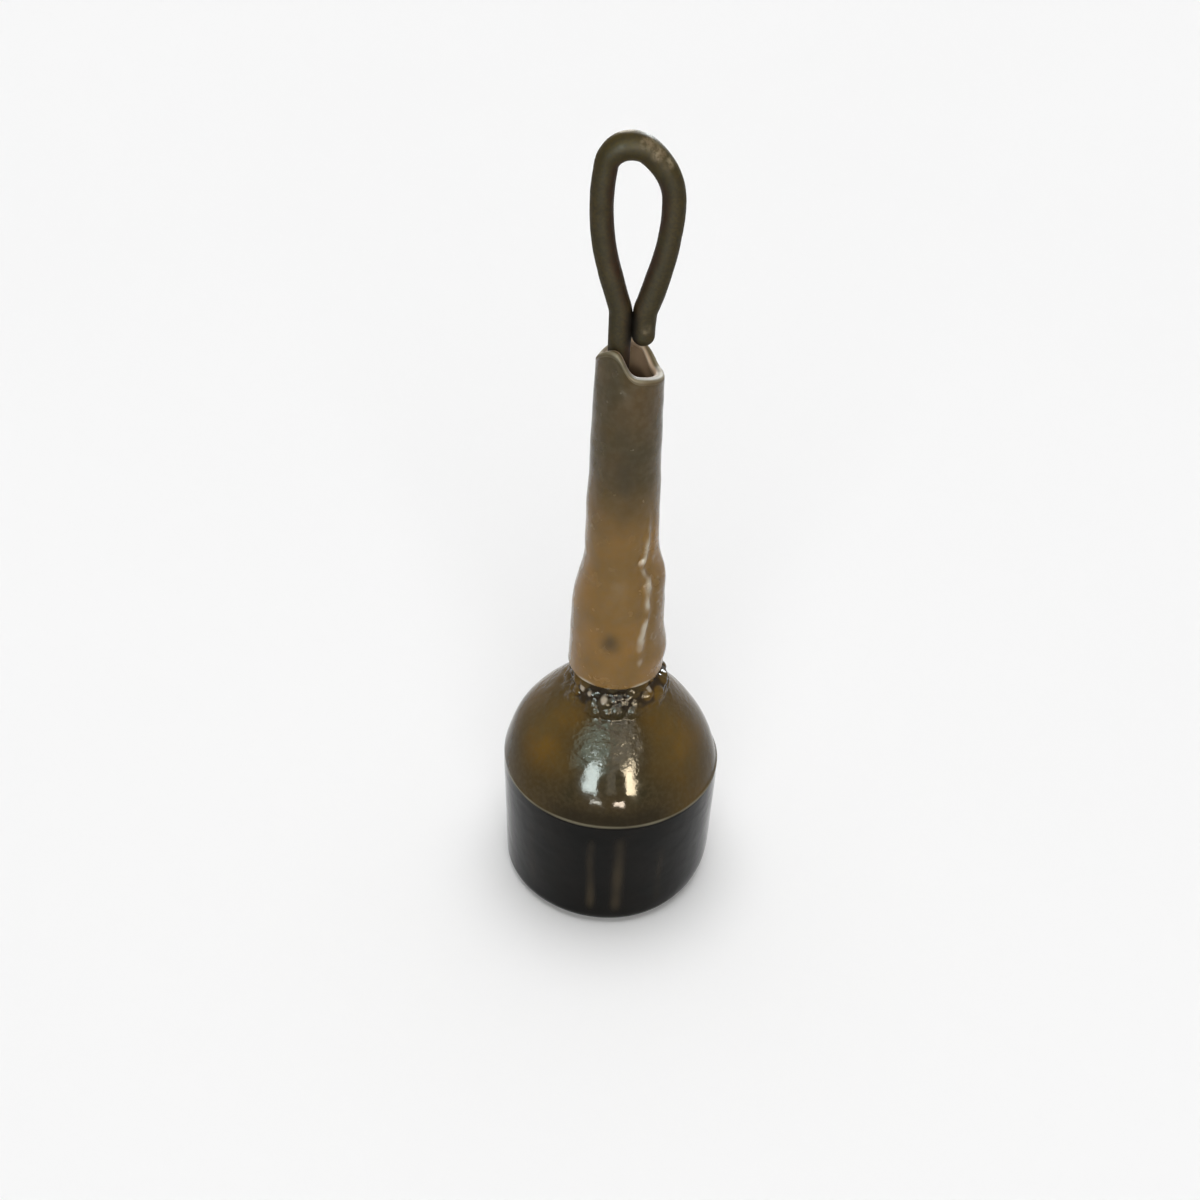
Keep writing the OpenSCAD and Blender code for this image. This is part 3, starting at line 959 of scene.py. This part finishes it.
def steel_material():
    """Drawn steel wire, with fine marks along it."""
    s = Shader("drawn_steel")
    marks = s.noise(0.12, 3.0, stretch=(1, 1, 0.1))
    ground = s.blend(marks, (0.42, 0.42, 0.43), (0.56, 0.56, 0.57))
    s.drive(Base_Color=ground, Roughness=s.spread(marks, 0.3, 0.7, 0.25, 0.4))
    s.set(Metallic=1.0)
    s.bump((marks, 0.003))
    return s.material


def floor_material():
    """A plain pale floor that mirrors nothing."""
    s = Shader("pale_floor")
    s.drive(Base_Color=s.blend(s.noise(60.0, 2.0), (0.90, 0.90, 0.90), (0.92, 0.92, 0.92)))
    s.set(Roughness=0.9, Specular_IOR_Level=0.0)
    return s.material


# Studio

# Half the floor's side, and the point that the lights face, in metres
FLOOR_HALF = 2.5
AIM = Vector((0, 0, 0.012))
# Bright panels that the gloss mirrors: azimuth and elevation in degrees, distance, width and
# height in metres, radiance and colour
SOFTBOXES = {
    "window_left": (-160.5, 16, 0.6, 0.155, 0.21, 80, (0.84, 0.97, 0.95)),
    "window_right": (157, 15.5, 0.6, 0.1, 0.19, 135, (1.0, 0.84, 0.58)),
    "window_middle": (178, 17, 0.6, 0.1, 0.2, 5, (1.0, 0.92, 0.75)),
    "sill_left": (-167.5, -0.4, 0.3, 0.05, 0.019, 85, (0.95, 0.95, 0.88)),
    "sill_right": (170, -0.4, 0.3, 0.05, 0.019, 110, (1.0, 0.84, 0.68)),
    "wall_left": (-155, 35, 0.6, 0.46, 0.30, 3.5, (0.78, 1.0, 0.88)),
    "wall_left_middle": (-156, 35, 0.6, 0.36, 0.22, 4, (0.75, 1.0, 0.88)),
    "wall_left_centre": (-157, 36, 0.6, 0.24, 0.14, 5.5, (0.72, 1.0, 0.88)),
    "wall_right": (158, 36, 0.6, 0.40, 0.28, 3, (1.0, 0.95, 0.82)),
    "wall_right_middle": (160, 37, 0.6, 0.28, 0.18, 4.5, (1.0, 0.95, 0.82)),
    "skylight": (180, 60, 0.6, 0.42, 0.06, 22, (1.0, 0.98, 0.94)),
    "window_back_left": (17, 18, 0.6, 0.12, 0.2, 60, (0.9, 0.97, 1.0)),
    "window_back_right": (-5, 18, 0.6, 0.1, 0.2, 60, (1.0, 0.92, 0.8)),
}
# Soft suns: azimuth, elevation and spread in degrees, and strength
SOFT_LIGHTS = {"overhead": (0, 82, 58, 2.55), "front": (180, 30, 45, 1.3)}
# The world's faint light: from one height of the sky to another, where 1 is overhead, its
# strength goes from the first value to the second
SKY_HEIGHTS = (0.05, 0.45)
SKY_STRENGTHS = (0.045, 0.015)


def make_floor():
    """The floor, which is the stage and not a part of the object."""
    mesh = bpy.data.meshes.new("floor")
    corners = [(FLOOR_HALF * x, FLOOR_HALF * y, 0) for x, y in ((-1, -1), (1, -1), (1, 1), (-1, 1))]
    mesh.from_pydata(corners, [], [(0, 1, 2, 3)])
    floor = bpy.data.objects.new("floor", mesh)
    bpy.context.scene.collection.objects.link(floor)
    floor.data.materials.append(floor_material())


def add_lamp(name, light, azimuth, elevation, distance):
    """A light's object, which faces the part and which the camera doesn't see. azimuth is in
    degrees from +Y towards +X."""
    a, e = math.radians(azimuth), math.radians(elevation)
    way = Vector((math.sin(a) * math.cos(e), math.cos(a) * math.cos(e), math.sin(e)))
    lamp = bpy.data.objects.new(name, light)
    bpy.context.scene.collection.objects.link(lamp)
    lamp.location = way * distance + AIM
    lamp.rotation_euler = way.to_track_quat("Z", "Y").to_euler()
    lamp.visible_camera = False
    return lamp


def add_softbox(name, azimuth, elevation, distance, width, height, radiance, colour):
    """A bright panel that the part's gloss reflects. It lights nothing else."""
    light = bpy.data.lights.new(name, "AREA")
    light.shape = "RECTANGLE"
    light.size, light.size_y = width, height
    light.energy = radiance * math.pi * width * height
    light.color = colour
    light.cycles.max_bounces = 1
    lamp = add_lamp(name, light, azimuth, elevation, distance)
    lamp.visible_diffuse = False


def add_soft_light(name, azimuth, elevation, spread, strength):
    """Soft even white light from a wide part of the sky, which the gloss doesn't show."""
    light = bpy.data.lights.new(name, "SUN")
    light.energy = strength
    light.angle = math.radians(spread)
    lamp = add_lamp(name, light, azimuth, elevation, 1.0)
    lamp.visible_glossy = False


def make_lights():
    """All the panels and soft suns."""
    for name, values in SOFTBOXES.items():
        add_softbox(name, *values)
    for name, values in SOFT_LIGHTS.items():
        add_soft_light(name, *values)


def make_world():
    """A white backdrop for the camera, gloss and glass, and for all other rays a faint light
    that is dimmer overhead."""
    world = bpy.data.worlds.new("studio")
    world.use_nodes = True
    tree = world.node_tree
    place = tree.nodes.new("ShaderNodeTexCoord")
    split = tree.nodes.new("ShaderNodeSeparateXYZ")
    fade = tree.nodes.new("ShaderNodeMapRange")
    fade.interpolation_type = "SMOOTHSTEP"
    fade.inputs["From Min"].default_value, fade.inputs["From Max"].default_value = SKY_HEIGHTS
    fade.inputs["To Min"].default_value, fade.inputs["To Max"].default_value = SKY_STRENGTHS
    path = tree.nodes.new("ShaderNodeLightPath")
    backdrop = tree.nodes["Background"]
    backdrop.inputs["Color"].default_value = (1, 1, 1, 1)
    tree.links.new(place.outputs["Generated"], split.inputs[0])
    tree.links.new(split.outputs["Z"], fade.inputs["Value"])
    strength = fade.outputs["Result"]
    for way in ("Is Camera Ray", "Is Glossy Ray", "Is Transmission Ray"):
        most = tree.nodes.new("ShaderNodeMath")
        most.operation = "MAXIMUM"
        tree.links.new(strength, most.inputs[0])
        tree.links.new(path.outputs[way], most.inputs[1])
        strength = most.outputs[0]
    tree.links.new(strength, backdrop.inputs["Strength"])
    bpy.context.scene.world = world


# The photograph's camera. The photo's size, the focal length and the place of the base's middle
# are in its pixels, the base's depth and the sensor in millimetres.
PHOTO_PX = 1200
FOCAL_PX = 1780
BASE_PX = (616.3, 847.0)
BASE_DEPTH = 129.0
PITCH = math.radians(39)
ROLL = math.radians(2.35)
SENSOR = 36
CLIP_START = 10.0


def make_camera():
    """The camera, tilted down by PITCH and turned about its view by ROLL."""
    forward = Vector((0, math.cos(PITCH), -math.sin(PITCH)))
    up = Vector((0, math.sin(PITCH), math.cos(PITCH)))
    right = Vector((1, 0, 0))
    across = (BASE_PX[0] - PHOTO_PX / 2) / FOCAL_PX
    below = (BASE_PX[1] - PHOTO_PX / 2) / FOCAL_PX
    place = -(right * across - up * below + forward) * BASE_DEPTH * MM
    rolled_right = right * math.cos(ROLL) + up * math.sin(ROLL)
    rolled_up = up * math.cos(ROLL) - right * math.sin(ROLL)
    data = bpy.data.cameras.new("camera")
    data.sensor_width = SENSOR
    data.lens = FOCAL_PX / PHOTO_PX * SENSOR
    data.clip_start = CLIP_START * MM
    camera = bpy.data.objects.new("camera", data)
    bpy.context.scene.collection.objects.link(camera)
    axes = Matrix((rolled_right, rolled_up, -forward)).transposed().to_4x4()
    camera.matrix_world = Matrix.Translation(place) @ axes
    bpy.context.scene.camera = camera


def finish_node(name, material):
    """A CAD node that stays, with its own material."""
    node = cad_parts[name]
    node.data.materials.clear()
    node.data.materials.append(material)


make_camera()
make_floor()
make_lights()
make_world()
make_dipped_coating(dip_material())
make_coated_eye(wire_dip_material())
make_sleeve(sleeve_material())
finish_node("lead_weight", lead_material())
finish_node("wire_eye", steel_material())
bpy.context.scene.view_settings.view_transform = "Standard"
